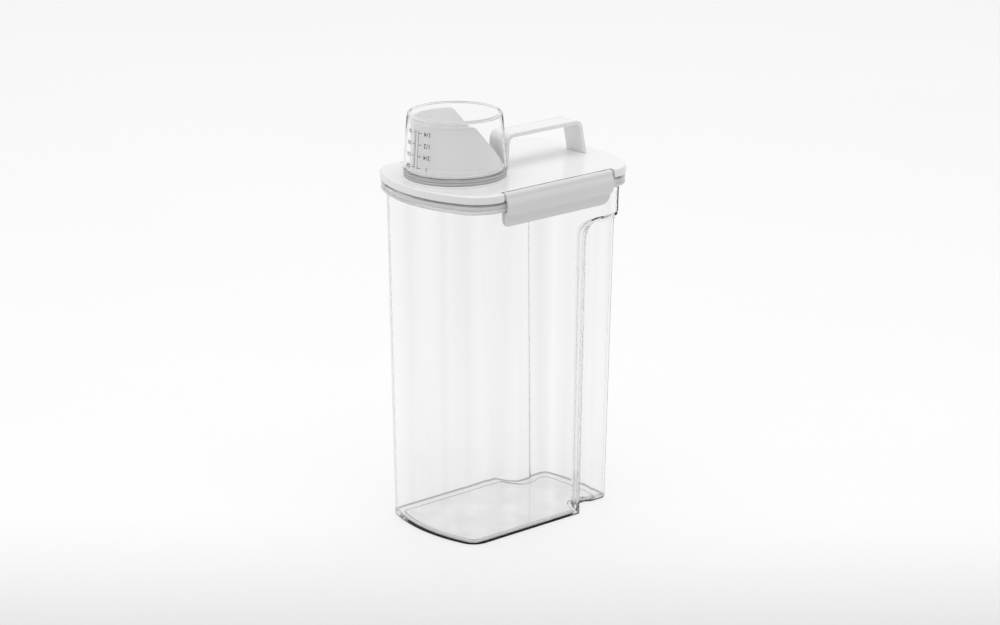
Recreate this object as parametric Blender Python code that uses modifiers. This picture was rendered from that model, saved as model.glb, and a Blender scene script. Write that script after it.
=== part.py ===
"""Cereal dispenser: clear storage container with a latched lid.

Built as separate pieces in metres, +Z up, +X from the pouring end to the
carrying end. Every length below is in millimetres and scaled by MM.
"""
import math

import bmesh
import bpy
from mathutils import Matrix, Vector

MM = 0.001

# ---------------------------------------------------------------- dimensions
LID_TOP = 310.0          # height of the lid's flat top
LID_W = 142.0            # lid width across the latches
LID_HALF_L = 103.6       # lid half length
PLATE = 2.6              # lid plate thickness
SKIRT_H = 7.0            # depth of the lid's outer skirt
SKIRT_T = 2.0
PLUG_DEPTH = 16.4        # depth of the inner skirt that enters the mouth
WALL = 2.4               # container wall
FLOOR = 3.4              # height of the container's inner floor
FOOT_W = 8.5             # distance of the foot rim's inner edge from the wall
FOOT_H = 1.0             # height of the recess under the floor
RIM_TOP = LID_TOP - 9.2  # top of the container's rim
RIM_BOTTOM = LID_TOP - 16.0
RECESS_Z = 266.0         # top of the side finger recesses
RECESS_X = 39.5          # where the recesses begin along the side
RECESS_RUN = 14.0        # length of the recess step along the side
RECESS_R = 17.0          # radius of the recess's upper corner
RECESS_TILT = 0.004      # the step moves to the rear with height
RECESS_Y = 38.2          # half width between the recesses
RECESS_Y_REAR = 41.5     # half width of the rear ridge behind them
SPOUT_X = -52.7          # spout and cup axis
SPOUT_R = 36.0
SPOUT_R_BASE = 38.0      # the tube above the collar, at its foot
SPOUT_R_TOP = 37.3       # and at its rim
SPOUT_T = 1.8
SPOUT_TOP = 360.5
SPOUT_TURN = -25.0       # the way the slanted cut faces, degrees about the spout's axis
SPOUT_CUT = 8.2          # how far past the axis the cut leaves the level rim
SPOUT_CUT_SLOPE = 1.25
COLLAR_R = 40.8
CUP_BASE_Z = LID_TOP + 8.0
CUP_TOP_Z = 366.3
CUP_R_BASE = 43.9
CUP_R_TOP = 40.1
CUP_T = 1.85
SEAL_R_OUT = 43.5
SEAL_R_IN = 38.3
BOSS_R = 44.4
HOLE_R = 36.9            # spout hole in the lid
HANDLE_Z = 340.1         # top of the carrying handle
HANDLE_X0, HANDLE_X1 = -6.4, 86.6
HANDLE_W = 22.0
HANDLE_T = 3.5
HINGE_Y = 67.4           # latch hinge axis, out from the middle
HINGE_Z = LID_TOP - 3.6
BAR_R = 1.2              # hinge bar moulded on the lid
LATCH_X0, LATCH_X1 = -57.0, 62.0
LUGS_X = (-49.0, -14.5, 19.5, 54.0)
LUG_W = 5.0

# ------------------------------------------------------------------- helpers
N_FRONT, N_CORNER, N_REAR = 10, 6, 6
SIDE_X = (-45.0, 0.0, 30.0, 36.5, 37.7, 38.4, 39.1, 39.8, 40.5, 41.4, 42.6, 44.2, 46.2,
          48.6, 51.5, 55.0, 60.0, 63.0, 64.5, 66.0, 67.5, 69.0, 71.0, 74.0)


def fresh_scene():
    for ob in list(bpy.data.objects):
        bpy.data.objects.remove(ob, do_unlink=True)
    for name in ("cereal_dispenser", "cutters"):
        if name in bpy.data.collections:
            bpy.data.collections.remove(bpy.data.collections[name])
    parts = bpy.data.collections.new("cereal_dispenser")
    cutters = bpy.data.collections.new("cutters")
    bpy.context.scene.collection.children.link(parts)
    bpy.context.scene.collection.children.link(cutters)
    return parts, cutters


PARTS, CUTTERS = fresh_scene()


def material(name, colour, roughness=0.35, alpha=1.0, transmission=0.0, ior=1.5):
    mat = bpy.data.materials.new(name)
    mat.use_nodes = True
    shader = mat.node_tree.nodes["Principled BSDF"]
    shader.inputs["Base Color"].default_value = (*colour, 1.0)
    shader.inputs["Roughness"].default_value = roughness
    shader.inputs["Alpha"].default_value = alpha
    shader.inputs["Transmission Weight"].default_value = transmission
    shader.inputs["IOR"].default_value = ior
    mat.diffuse_color = (*colour, alpha)
    return mat


def add_object(name, mesh, mat=None, cutter=False):
    ob = bpy.data.objects.new(name, mesh)
    (CUTTERS if cutter else PARTS).objects.link(ob)
    if mat:
        mesh.materials.append(mat)
    if cutter:
        ob.hide_render = True
        ob.display_type = "WIRE"
    return ob


def finish_mesh(bm, name, merge=1e-6):
    bmesh.ops.remove_doubles(bm, verts=bm.verts, dist=merge)
    bmesh.ops.recalc_face_normals(bm, faces=bm.faces)
    mesh = bpy.data.meshes.new(name)
    bm.to_mesh(mesh)
    bm.free()
    return mesh


def smooth(ob, angle=35.0):
    ob.data.polygons.foreach_set("use_smooth", [True] * len(ob.data.polygons))
    ob.data.set_sharp_from_angle(angle=math.radians(angle))


def set_origin(ob, point):
    """Move the object's origin to a point in millimetres, geometry staying put."""
    offset = Vector(point) * MM
    ob.data.transform(Matrix.Translation(-offset))
    ob.location = offset


def boolean(ob, cutter, operation="DIFFERENCE"):
    mod = ob.modifiers.new(operation.lower() + "_" + cutter.name, "BOOLEAN")
    mod.operation = operation
    mod.solver = "EXACT"
    mod.object = cutter
    return mod


def box(name, lo, hi, cutter=True, mat=None):
    bm = bmesh.new()
    bmesh.ops.create_cube(bm, size=1.0)
    size = [(b - a) * MM for a, b in zip(lo, hi)]
    middle = [(a + b) / 2 * MM for a, b in zip(lo, hi)]
    bmesh.ops.scale(bm, vec=size, verts=bm.verts)
    bmesh.ops.translate(bm, vec=middle, verts=bm.verts)
    return add_object(name, finish_mesh(bm, name), mat, cutter)


def cylinder_x(name, radius, x0, x1, y, z, segments=32, cutter=True, mat=None):
    """A solid cylinder lying along X."""
    bm = bmesh.new()
    bmesh.ops.create_cone(bm, cap_ends=True, segments=segments, radius1=radius * MM,
                          radius2=radius * MM, depth=(x1 - x0) * MM)
    bmesh.ops.rotate(bm, cent=(0, 0, 0), matrix=Matrix.Rotation(math.pi / 2, 3, "Y"),
                     verts=bm.verts)
    bmesh.ops.translate(bm, vec=((x0 + x1) / 2 * MM, y * MM, z * MM), verts=bm.verts)
    return add_object(name, finish_mesh(bm, name), mat, cutter)


def revolve(name, profile, centre_x, segments=72, cutter=False, mat=None):
    """Closed (radius, height) profile turned about a vertical axis at centre_x."""
    bm = bmesh.new()
    rings = []
    for i in range(segments):
        a = 2 * math.pi * i / segments
        rings.append([bm.verts.new(((centre_x + r * math.cos(a)) * MM,
                                    r * math.sin(a) * MM, z * MM)) for r, z in profile])
    count = len(profile)
    for i in range(segments):
        here, there = rings[i], rings[(i + 1) % segments]
        for k in range(count):
            m = (k + 1) % count
            if profile[k][0] == 0 and profile[m][0] == 0:
                continue
            bm.faces.new((here[k], there[k], there[m], here[m]))
    bmesh.ops.remove_doubles(bm, verts=bm.verts, dist=1e-7)
    bmesh.ops.dissolve_degenerate(bm, dist=1e-8, edges=bm.edges)
    return add_object(name, finish_mesh(bm, name), mat, cutter)


def prism(name, outline, axis, lo, hi, cutter=False, mat=None):
    """Extrude a closed 2D outline. axis 'x': points are (y, z); 'y': (x, z)."""
    bm = bmesh.new()
    if axis == "x":
        points = [(lo * MM, a * MM, b * MM) for a, b in outline]
        move = ((hi - lo) * MM, 0, 0)
    else:
        points = [(a * MM, lo * MM, b * MM) for a, b in outline]
        move = (0, (hi - lo) * MM, 0)
    face = bm.faces.new([bm.verts.new(p) for p in points])
    out = bmesh.ops.extrude_face_region(bm, geom=[face])
    moved = [g for g in out["geom"] if isinstance(g, bmesh.types.BMVert)]
    bmesh.ops.translate(bm, vec=move, verts=moved)
    return add_object(name, finish_mesh(bm, name), mat, cutter)


def arc(cx, cy, radius, a0, a1, steps):
    return [(cx + radius * math.cos(math.radians(a0 + (a1 - a0) * i / steps)),
             cy + radius * math.sin(math.radians(a0 + (a1 - a0) * i / steps)))
            for i in range(steps + 1)]


def recess_step(t):
    """Depth of the recess along its step: a tight fold, then an easy curve."""
    t = min(1.0, max(0.0, t))
    return smoothstep(t * math.sqrt(1.1 / (t + 0.1)))


def smoothstep(t):
    t = min(1.0, max(0.0, t))
    return t * t * (3 - 2 * t)


# --------------------------------------------------- outline shared by the shell
class Plan:
    """A plan outline: bowed ends, straight sides, rounded corners."""

    def __init__(self, half_w, front, front_r, front_corner, rear, rear_r, rear_corner):
        self.v = (half_w, front, front_r, front_corner, rear, rear_r, rear_corner)

    def inset(self, d):
        h, f, fr, fc, r, rr, rc = self.v
        return Plan(h - d, f + d, fr - d, max(fc - d, 0.6), r - d, rr - d, max(rc - d, 0.6))

    def mix(self, other, t):
        return Plan(*[a + (b - a) * t for a, b in zip(self.v, other.v)])

    def half(self, side_x=SIDE_X):
        """Points of the +Y half, from the front middle round to the rear middle."""
        h, f, fr, fc, r, rr, rc = self.v
        fx = f + fr - math.sqrt((fr - fc) ** 2 - (h - fc) ** 2)
        rx = r - rr + math.sqrt((rr - rc) ** 2 - (h - rc) ** 2)
        af = math.atan2(h - fc, fx - (f + fr))
        ar = math.atan2(h - rc, rx - (r - rr))
        pts = []
        for i in range(N_FRONT + 1):
            a = math.pi + (af - math.pi) * i / N_FRONT
            pts.append((f + fr + fr * math.cos(a), fr * math.sin(a)))
        for i in range(1, N_CORNER + 1):
            a = af + (math.pi / 2 - af) * i / N_CORNER
            pts.append((fx + fc * math.cos(a), h - fc + fc * math.sin(a)))
        last = side_x[-1]
        for x in side_x:
            pts.append((x + (rx - 0.8 - last) * max(0.0, (x - 62) / (last - 62)), h))
        for i in range(N_CORNER + 1):
            a = math.pi / 2 + (ar - math.pi / 2) * i / N_CORNER
            pts.append((rx + rc * math.cos(a), h - rc + rc * math.sin(a)))
        for i in range(1, N_REAR + 1):
            a = ar * (1 - i / N_REAR)
            pts.append((r - rr + rr * math.cos(a), rr * math.sin(a)))
        return pts


def ring(half):
    """Full closed outline from the +Y half."""
    half = [(x, 0.0 if i in (0, len(half) - 1) else y) for i, (x, y) in enumerate(half)]
    return half + [(x, -y) for x, y in reversed(half[1:-1])]


def loft(bm, rings, cap_first=True, cap_last=True):
    """Skin a list of (outline, z) rings with the same number of points."""
    rows = [[bm.verts.new((x * MM, y * MM, z * MM)) for x, y in pts] for pts, z in rings]
    n = len(rows[0])
    for a, b in zip(rows, rows[1:]):
        for i in range(n):
            j = (i + 1) % n
            bm.faces.new((a[i], a[j], b[j], b[i]))
    if cap_first:
        bm.faces.new(rows[0])
    if cap_last:
        bm.faces.new(rows[-1])


LID_PLAN = Plan(LID_W / 2, -LID_HALF_L, 114.0, 31.0, LID_HALF_L, 121.0, 25.0)
WALL_TOP = Plan(62.0, -95.7, 136.0, 22.0, 96.3, 140.0, 17.0)
WALL_BASE = Plan(57.0, -90.7, 142.0, 17.0, 89.9, 140.0, 17.0)
REAR_TOP = Plan(RECESS_Y_REAR + 3.5, -95.7, 136.0, 22.0, 96.6, 220.0, 7.0)
REAR_BASE = Plan(RECESS_Y_REAR, -90.7, 142.0, 17.0, 90.4, 220.0, 7.0)


def body_section(z, inset=0.0, shift=0.0):
    """Container outline at a height: full width, narrowed by the finger recesses."""
    t = z / RIM_BOTTOM
    full = WALL_BASE.mix(WALL_TOP, t).inset(inset).half()
    rear = REAR_BASE.mix(REAR_TOP, t).inset(inset)
    narrow = rear.half()
    out = []
    for (x, y), (nx, ny) in zip(full, narrow):
        # depth inside the recess's outline, which has one rounded upper corner
        u = x - (RECESS_X + RECESS_TILT * z - shift)
        v = RECESS_Z + shift * 0.8 - z
        depth = min(u, v)
        if u < RECESS_R and v < RECESS_R:
            depth = RECESS_R - math.hypot(RECESS_R - u, RECESS_R - v)
        m = recess_step(depth / RECESS_RUN)
        if ny > rear.v[0] - 0.01:
            ny -= (RECESS_Y_REAR - RECESS_Y) * (1 - smoothstep((nx - 63) / 7))
        out.append((x + (nx - x) * m, y + (ny - y) * m))
    return ring(out)


# -------------------------------------------------------------- 1. container
def build_container(mat):
    rings = [(body_section(0.0, FOOT_W + 0.8), FOOT_H), (body_section(0.0, FOOT_W), 0.0),
             (body_section(0.0, 1.8), 0.0), (body_section(0.6, 0.6), 0.6),
             (body_section(2.0), 2.0)]
    levels = (130, 225, 238, 245, 250, 253.5, 256.5, 259, 261, 262.8, 264.2, 265.4, 267.0,
              269.0, 276)
    rings += [(body_section(z), z) for z in levels]
    rim = LID_PLAN.inset(0.9)
    rings += [(ring(WALL_TOP.half()), RIM_BOTTOM - 2.0),
              (ring(WALL_TOP.inset(-0.7).half()), RIM_BOTTOM - 0.5),
              (ring(rim.inset(1.0).half()), RIM_BOTTOM),
              (ring(rim.inset(0.1).half()), RIM_BOTTOM + 0.7),
              (ring(rim.half()), RIM_BOTTOM + 2.3),
              (ring(rim.inset(1.1).half()), RIM_BOTTOM + 2.9),
              (ring(rim.inset(1.1).half()), RIM_BOTTOM + 3.7),
              (ring(rim.half()), RIM_BOTTOM + 4.3),
              (ring(rim.half()), RIM_TOP - 0.7),
              (ring(rim.inset(0.7).half()), RIM_TOP),
              (ring(WALL_TOP.inset(WALL - 0.5).half()), RIM_TOP),
              (ring(WALL_TOP.inset(WALL).half()), RIM_TOP - 0.6),
              (ring(WALL_TOP.inset(WALL).half()), RIM_BOTTOM - 2.0)]
    shift = 2.0
    rings += [(body_section(z, WALL, shift), z) for z in reversed(levels)]
    rings += [(body_section(FLOOR + 3.0, WALL, shift), FLOOR + 3.0),
              (body_section(FLOOR + 0.9, WALL + 0.9, shift), FLOOR + 0.9),
              (body_section(FLOOR, WALL + 3.0, shift), FLOOR)]
    bm = bmesh.new()
    loft(bm, rings)
    ob = add_object("container_body", finish_mesh(bm, "container_body"), mat)
    smooth(ob, 40)
    return ob


# -------------------------------------------------------------------- 2. lid
MOUTH = WALL_TOP.inset(WALL)


def build_lid(mat):
    top = LID_TOP
    under = top - PLATE
    plug = MOUTH.inset(1.2)
    rings = [(ring(LID_PLAN.inset(1.3).half()), top),
             (ring(LID_PLAN.inset(0.4).half()), top - 0.4),
             (ring(LID_PLAN.half()), top - 1.3),
             (ring(LID_PLAN.half()), top - SKIRT_H + 0.4),
             (ring(LID_PLAN.inset(0.4).half()), top - SKIRT_H),
             (ring(LID_PLAN.inset(SKIRT_T).half()), top - SKIRT_H),
             (ring(LID_PLAN.inset(SKIRT_T).half()), under),
             (ring(MOUTH.inset(-1.6).half()), under),
             (ring(MOUTH.inset(-1.6).half()), RIM_TOP + 0.3),
             (ring(plug.half()), RIM_TOP + 0.3),
             (ring(plug.half()), top - 10.4),
             (ring(plug.inset(1.1).half()), top - 10.4),
             (ring(plug.inset(1.1).half()), top - 15.0),
             (ring(plug.half()), top - 15.0),
             (ring(plug.half()), top - PLUG_DEPTH + 0.8),
             (ring(plug.inset(0.8).half()), top - PLUG_DEPTH),
             (ring(plug.inset(2.6).half()), top - PLUG_DEPTH),
             (ring(plug.inset(2.6).half()), under)]
    bm = bmesh.new()
    loft(bm, rings)
    lid = add_object("lid_cover", finish_mesh(bm, "lid_cover"), mat)
    # raised boss round the spout hole
    boss = revolve("boss", [(BOSS_R - 8.5, top - 1.2), (BOSS_R, top - 1.2), (BOSS_R, top + 1.3),
                            (BOSS_R - 0.9, top + 2.2), (BOSS_R - 8.5, top + 2.2)], SPOUT_X,
                   72, cutter=True)
    boolean(lid, boss, "UNION")
    hole = revolve("spout_hole", [(0, top - 6), (HOLE_R, top - 6), (HOLE_R, top + 6), (0, top + 6)],
                   SPOUT_X, 72, cutter=True)
    boolean(lid, hole)
    # room under the plate for the snap bead that holds the spout
    room = revolve("spout_room", [(0, top - 12), (SPOUT_R + 2.1, top - 12),
                                  (SPOUT_R + 2.1, under - 0.1), (0, under - 0.1)],
                   SPOUT_X, 72, cutter=True)
    boolean(lid, room)
    # cut-outs for the two latches, round the hinge axis and out through the skirt
    x0, x1 = LATCH_X0 - 2.3, LATCH_X1 + 2.6
    for side, tag in ((-1, "near"), (1, "far")):
        y = side * HINGE_Y
        boolean(lid, cylinder_x("hinge_gap_" + tag, 3.95, x0, x1, y, HINGE_Z, 40))
        lo, hi = sorted((y, side * (LID_W / 2 + 5)))
        boolean(lid, box("skirt_gap_" + tag, (x0, lo, top - SKIRT_H - 3), (x1, hi, top + 2)))
    # lugs and the bar the latches clip on
    for side, tag in ((-1, "near"), (1, "far")):
        for k, x in enumerate(LUGS_X):
            arm = [(-7.0, -5.2), (-7.0, -1.6), (-3.4, -1.1)] + arc(0, 0, 2.1, 190, -100, 12)
            arm = [(side * (HINGE_Y + a), HINGE_Z + b) for a, b in arm]
            lug = prism("lug_%s_%d" % (tag, k), arm, "x", x - LUG_W / 2, x + LUG_W / 2, cutter=True)
            boolean(lid, lug, "UNION")
        bar = cylinder_x("bar_" + tag, BAR_R, LUGS_X[0] - 1, LUGS_X[-1] + 1, side * HINGE_Y,
                         HINGE_Z, 20)
        boolean(lid, bar, "UNION")
    # slots for the feet of the handle
    for k, x in enumerate((HANDLE_X0, HANDLE_X1 - HANDLE_T)):
        boolean(lid, box("handle_slot_%d" % k, (x - 0.35, -HANDLE_W / 2 - 0.4, top - 6),
                         (x + HANDLE_T + 0.35, HANDLE_W / 2 + 0.4, top + 2)))
    smooth(lid, 35)
    return lid


def build_lid_seal(mat):
    top = LID_TOP
    plug = MOUTH.inset(1.2)
    rings = [(ring(plug.inset(0.8).half()), top - 10.7),
             (ring(MOUTH.inset(0.6).half()), top - 10.9),
             (ring(MOUTH.inset(0.3).half()), top - 11.7),
             (ring(MOUTH.inset(1.1).half()), top - 12.7),
             (ring(MOUTH.inset(0.3).half()), top - 13.7),
             (ring(MOUTH.inset(0.6).half()), top - 14.5),
             (ring(plug.inset(0.8).half()), top - 14.7)]
    bm = bmesh.new()
    loft(bm, rings + rings[:1], cap_first=False, cap_last=False)
    ob = add_object("lid_seal", finish_mesh(bm, "lid_seal", 1e-7), mat)
    smooth(ob, 50)
    return ob


# ---------------------------------------------------------- 3. spout and cup
def build_spout(mat):
    top = LID_TOP
    r, t, rim = SPOUT_R, SPOUT_T, SPOUT_R_TOP
    profile = [(r - t, top - 9.0), (r + 0.4, top - 9.0), (r + 0.6, top - 6.6), (r + 1.7, top - 5.2),
               (r + 1.7, top - 3.2), (r + 0.6, top - 2.9), (r + 0.6, top + 2.5),
               (37.9, top + 2.5), (37.9, top + 8.0), (COLLAR_R, top + 8.0),
               (COLLAR_R, top + 9.6), (COLLAR_R - 0.5, top + 10.1), (38.9, top + 10.1),
               (38.6, top + 12.8), (SPOUT_R_BASE, top + 13.4), (rim, SPOUT_TOP - 0.5),
               (rim - 0.5, SPOUT_TOP), (rim - t + 0.5, SPOUT_TOP), (rim - t, SPOUT_TOP - 0.5),
               (SPOUT_R_BASE - t, top + 13.4)]
    spout = revolve("pour_spout", profile, SPOUT_X, 72, mat=mat)
    low = top + 13.4
    # a wedge takes away everything above the slanted line, level again at the collar
    run = (SPOUT_TOP - low) / SPOUT_CUT_SLOPE
    outline = [(SPOUT_CUT - 6, SPOUT_TOP + 4), (SPOUT_CUT - 4.0, SPOUT_TOP + 0.2),
               (SPOUT_CUT - 1.5, SPOUT_TOP - 0.6), (SPOUT_CUT + 0.8, SPOUT_TOP - 2.2),
               (SPOUT_CUT + run - 2.0, low + 2.2), (SPOUT_CUT + run + 1.0, low + 0.6),
               (60, low + 0.15), (60, SPOUT_TOP + 4)]
    wedge = prism("slant_cut", outline, "y", -60, 60, cutter=True)
    wedge.data.transform(Matrix.Translation((SPOUT_X * MM, 0, 0))
                         @ Matrix.Rotation(math.radians(SPOUT_TURN), 4, "Z"))
    boolean(spout, wedge)
    smooth(spout, 35)
    return spout


def build_spout_seal(mat):
    top = LID_TOP
    profile = [(SEAL_R_IN, top + 2.5), (SEAL_R_OUT - 0.4, top + 2.5), (SEAL_R_OUT, top + 3.0),
               (SEAL_R_OUT, top + 4.4), (SEAL_R_OUT - 0.7, top + 4.9), (SEAL_R_OUT, top + 5.4),
               (SEAL_R_OUT, top + 7.1), (SEAL_R_OUT - 0.4, top + 7.6), (SEAL_R_IN, top + 7.6)]
    ob = revolve("spout_seal", profile, SPOUT_X, 64, mat=mat)
    smooth(ob, 35)
    return ob


def build_cup(mat):
    zb, zt, rb, rt, t = CUP_BASE_Z, CUP_TOP_Z, CUP_R_BASE, CUP_R_TOP, CUP_T
    slope = (rt - rb) / (zt - zb)
    edge = 2.2
    outer = [(rb - 0.35, zb), (rb, zb + 0.5), (rt - slope * edge, zt - edge)]
    outer += [(r, z) for r, z in arc(rt - edge, zt - edge, edge, 0, 90, 6)][1:]
    inner_top = zt - 1.8
    inner = [(0.0, inner_top), (rt - t - 1.5, inner_top), (rt - t - 0.4, inner_top - 0.5),
             (rt - t, inner_top - 1.6), (rb - t, zb + 0.5), (rb - t + 0.35, zb)]
    profile = outer + [(0.0, zt)] + inner
    ob = revolve("measuring_cup", profile, SPOUT_X, 72, mat=mat)
    smooth(ob, 35)
    return ob


# ----------------------------------------------------------------- 4. handle
def build_handle(mat):
    top, t = LID_TOP, HANDLE_T
    z1 = HANDLE_Z
    lean0, lean1 = 1.4, 4.2          # the legs lean inwards towards the top
    foot = top - 8.0
    x0, x1 = HANDLE_X0, HANDLE_X1
    rad = 8.5
    outer = [(x0, foot), (x0, top), (x0 + 0.6, top + 4)]
    outer += arc(x0 + lean0 + rad, z1 - rad, rad, 180, 90, 8)
    outer += arc(x1 - lean1 - rad, z1 - rad, rad, 90, 0, 8)
    outer += [(x1 - 0.7, top + 4), (x1, top), (x1, foot)]
    ri = rad - t
    inner = [(x1 - t, foot), (x1 - t, top - PLATE - 3.2), (x1 - t - 1.2, top - PLATE - 0.4),
             (x1 - t, top - PLATE - 0.4), (x1 - t, top), (x1 - t - 0.7, top + 4)]
    inner += arc(x1 - lean1 - rad, z1 - rad, ri, 0, 90, 6)
    inner += arc(x0 + lean0 + rad, z1 - rad, ri, 90, 180, 6)
    inner += [(x0 + t + 0.6, top + 4), (x0 + t, top), (x0 + t, top - PLATE - 0.4),
              (x0 + t + 1.2, top - PLATE - 0.4), (x0 + t, top - PLATE - 3.2), (x0 + t, foot)]
    ob = prism("carry_handle", outer + inner, "y", -HANDLE_W / 2, HANDLE_W / 2, mat=mat)
    bevel = ob.modifiers.new("soft_edges", "BEVEL")
    bevel.width = 0.55 * MM
    bevel.segments = 2
    bevel.limit_method = "ANGLE"
    bevel.angle_limit = math.radians(50)
    smooth(ob, 35)
    return ob


# ---------------------------------------------------------------- 5. latches
def latch_section(side):
    """Latch section as (y, z) offsets from the hinge axis, side -1 near, +1 far."""
    h = LID_TOP - HINGE_Z
    outer = [(3.6 * math.cos(math.radians(a)), 3.6 * math.sin(math.radians(a)))
             for a in (96, 80, 64, 48, 32, 16, 0)]
    outer += [(4.4, h - 6.0), (5.3, h - 8.0), (5.9, h - 10.5), (5.7, h - 13.2), (4.7, h - 16.2),
              (3.0, h - 19.2), (1.2, h - 21.6), (0.4, h - 23.6), (0.5, h - 26.0), (1.1, h - 28.4),
              (0.9, h - 29.3), (0.2, h - 29.7), (-0.6, h - 29.4), (-1.1, h - 28.4),
              (-1.5, h - 25.5), (-1.9, h - 22.5), (-2.1, h - 19.5), (-2.0, h - 17.2),
              (-1.5, h - 16.5), (3.1, h - 16.5), (3.6, h - 15.4), (4.0, h - 13.0), (4.1, h - 10.0),
              (3.5, h - 7.6)]
    inner = [(2.5 * math.cos(math.radians(a)), 2.5 * math.sin(math.radians(a)))
             for a in (-8, 16, 40, 64, 96)]
    return [(side * (HINGE_Y + a), HINGE_Z + b) for a, b in outer + inner]


def build_latch(name, side, mat):
    latch = prism(name, latch_section(side), "x", LATCH_X0, LATCH_X1, mat=mat)
    y = side * HINGE_Y
    barrel = cylinder_x(name + "_barrel", 3.3, LATCH_X0, LATCH_X1, y, HINGE_Z, 36)
    boolean(latch, barrel, "UNION")
    for k, x in enumerate(LUGS_X):
        w = LUG_W / 2 + 0.5
        boolean(latch, cylinder_x("%s_lug_gap_%d" % (name, k), 2.5, x - w, x + w, y, HINGE_Z, 32))
        lo, hi = sorted((y + side * 0.15, y - side * 8))
        boolean(latch, box("%s_lug_way_%d" % (name, k), (x - w, lo, HINGE_Z - 8),
                           (x + w, hi, HINGE_Z + 6)))
    bore = cylinder_x(name + "_bore", BAR_R + 0.3, LUGS_X[0] - 2.0, LUGS_X[-1] + 2.0, y, HINGE_Z, 24)
    boolean(latch, bore)
    # the knuckles are open clips: a slot lets them snap over the bar
    mouth = [(side * (HINGE_Y + a), HINGE_Z + b)
             for a, b in ((0.4, -0.9), (-0.9, 0.4), (-5.2, -3.4), (-3.4, -5.2))]
    boolean(latch, prism(name + "_mouth", mouth, "x", LUGS_X[0] - 2.0, LUGS_X[-1] + 2.0,
                         cutter=True))
    # rounded lower corners of the flap
    z0 = LID_TOP - 29.7
    for tag, x, sgn, rad in (("front", LATCH_X0, 1, 5.0), ("rear", LATCH_X1, -1, 11.0)):
        pts = [(x - sgn * 2, z0 - 2)] + [(x + sgn * (rad + 0.0), z0 - 2)]
        pts += [(x + sgn * (rad - rad * math.sin(math.radians(a))),
                 z0 + rad - rad * math.cos(math.radians(a))) for a in (0, 15, 30, 45, 60, 75, 90)]
        pts += [(x - sgn * 2, z0 + rad)]
        lo, hi = sorted((side * (HINGE_Y - 4), side * (HINGE_Y + 12)))
        boolean(latch, prism("%s_round_%s" % (name, tag), pts, "y", lo, hi, cutter=True))
    set_origin(latch, (0.5 * (LATCH_X0 + LATCH_X1), y, HINGE_Z))
    smooth(latch, 40)
    return latch


# -------------------------------------------------------------------- build
clear_body = material("clear_body", (0.93, 0.95, 0.96), 0.06, 0.25, 0.0, 1.49)
clear_cup = material("clear_cup", (0.94, 0.96, 0.97), 0.05, 0.3, 0.0, 1.49)
white_lid = material("white_lid", (0.86, 0.86, 0.86), 0.22)
white_latch_near = material("white_latch_near", (0.84, 0.84, 0.84), 0.24)
white_latch_far = material("white_latch_far", (0.84, 0.84, 0.84), 0.24)
white_handle = material("white_handle", (0.86, 0.86, 0.86), 0.22)
white_spout = material("white_spout", (0.83, 0.83, 0.83), 0.3)
grey_cup_seal = material("grey_cup_seal", (0.42, 0.42, 0.43), 0.6)
clear_seal = material("grey_lid_seal", (0.62, 0.63, 0.64), 0.6)

build_container(clear_body)
build_lid(white_lid)
build_lid_seal(clear_seal)
build_spout(white_spout)
build_spout_seal(grey_cup_seal)
build_cup(clear_cup)
build_handle(white_handle)
build_latch("latch_near", -1, white_latch_near)
build_latch("latch_far", 1, white_latch_far)
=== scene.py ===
"""Visual model of the latched cereal dispenser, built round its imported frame.

Lengths in the shape code are millimetres; MM turns them into metres.
"""
import math

import bmesh
import bpy
from mathutils import Matrix, Vector


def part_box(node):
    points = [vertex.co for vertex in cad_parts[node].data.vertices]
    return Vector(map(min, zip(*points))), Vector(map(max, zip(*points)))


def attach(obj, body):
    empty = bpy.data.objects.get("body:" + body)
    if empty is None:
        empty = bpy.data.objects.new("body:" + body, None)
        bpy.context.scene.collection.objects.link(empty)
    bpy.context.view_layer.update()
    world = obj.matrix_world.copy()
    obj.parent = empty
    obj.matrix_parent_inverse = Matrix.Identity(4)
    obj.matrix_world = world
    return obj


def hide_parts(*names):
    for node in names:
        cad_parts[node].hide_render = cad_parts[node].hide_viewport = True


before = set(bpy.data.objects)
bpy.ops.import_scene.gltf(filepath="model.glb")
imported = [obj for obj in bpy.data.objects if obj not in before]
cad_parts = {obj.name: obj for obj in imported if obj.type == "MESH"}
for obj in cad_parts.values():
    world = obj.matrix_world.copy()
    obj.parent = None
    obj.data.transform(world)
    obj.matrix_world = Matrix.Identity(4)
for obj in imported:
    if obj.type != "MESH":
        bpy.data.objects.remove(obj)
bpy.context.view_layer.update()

MM = 0.001


# ------------------------------------------------------- sizes from the frame
def box_mm(node):
    """Corners of a node's box, in millimetres."""
    low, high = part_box(node)
    return low / MM, high / MM


lid_low, lid_high = box_mm("lid_cover")
cup_low, cup_high = box_mm("measuring_cup")
handle_low, handle_high = box_mm("carry_handle")
latch_low, latch_high = box_mm("latch_near")

# lid: the ring boss round the spout, the plate, the skirt, and the plug with its seal groove
BOSS_H, BOSS_R, BOSS_EDGE, HOLE_R = 2.2, 44.4, 0.9, 36.9
LID_TOP = lid_high.z - BOSS_H
LID_HALF_W, LID_HALF_L = 71.0, lid_high.x
PLATE, SKIRT_H, SKIRT_T, LID_EDGE = 2.6, 7.0, 2.0, 1.5
PLUG_DEPTH, PLUG_T, GROOVE_TOP, GROOVE_BOTTOM, GROOVE_DEPTH = 16.4, 2.6, 10.4, 15.0, 1.1

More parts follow.
